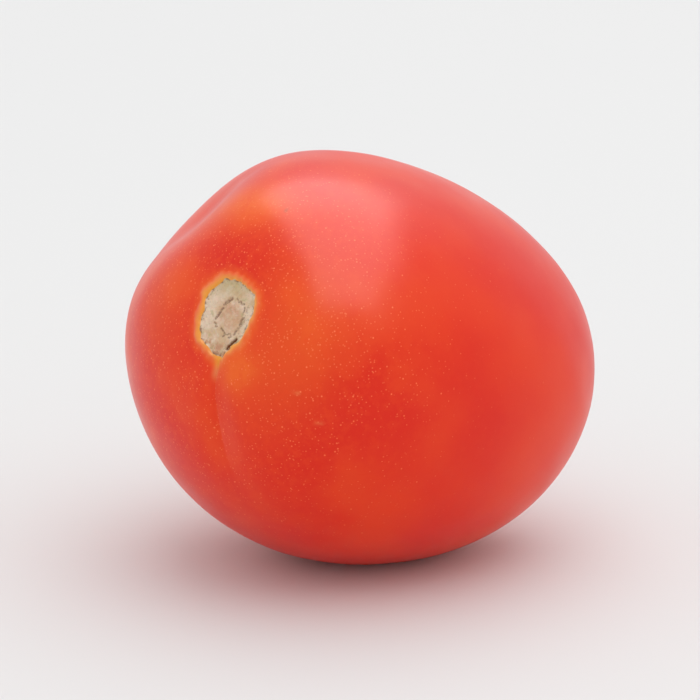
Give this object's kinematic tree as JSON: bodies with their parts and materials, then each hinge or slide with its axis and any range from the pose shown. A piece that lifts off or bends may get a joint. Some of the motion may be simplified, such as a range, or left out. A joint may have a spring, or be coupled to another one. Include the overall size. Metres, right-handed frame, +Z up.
{
  "type": "plum tomato",
  "caption": "Ripe red plum tomato, whole and picked, with a corky stem scar, lying on its side on a small flat spot.",
  "frame": {"origin": "centre of the bounding box's bottom, level with the flat spot that the fruit lies on", "axes": "+Z up; +X along the fruit from the stem end, which points up a little at -X, to the blossom end"},
  "size_m": [0.0706, 0.064, 0.06],
  "materials": {
    "skin": "waxy satin tomato skin, red with fine pale speckles, orange and yellow round a beige corky scar"
  },
  "bodies": {
    "root": {"tomato": "skin"}
  },
  "joints": []
}
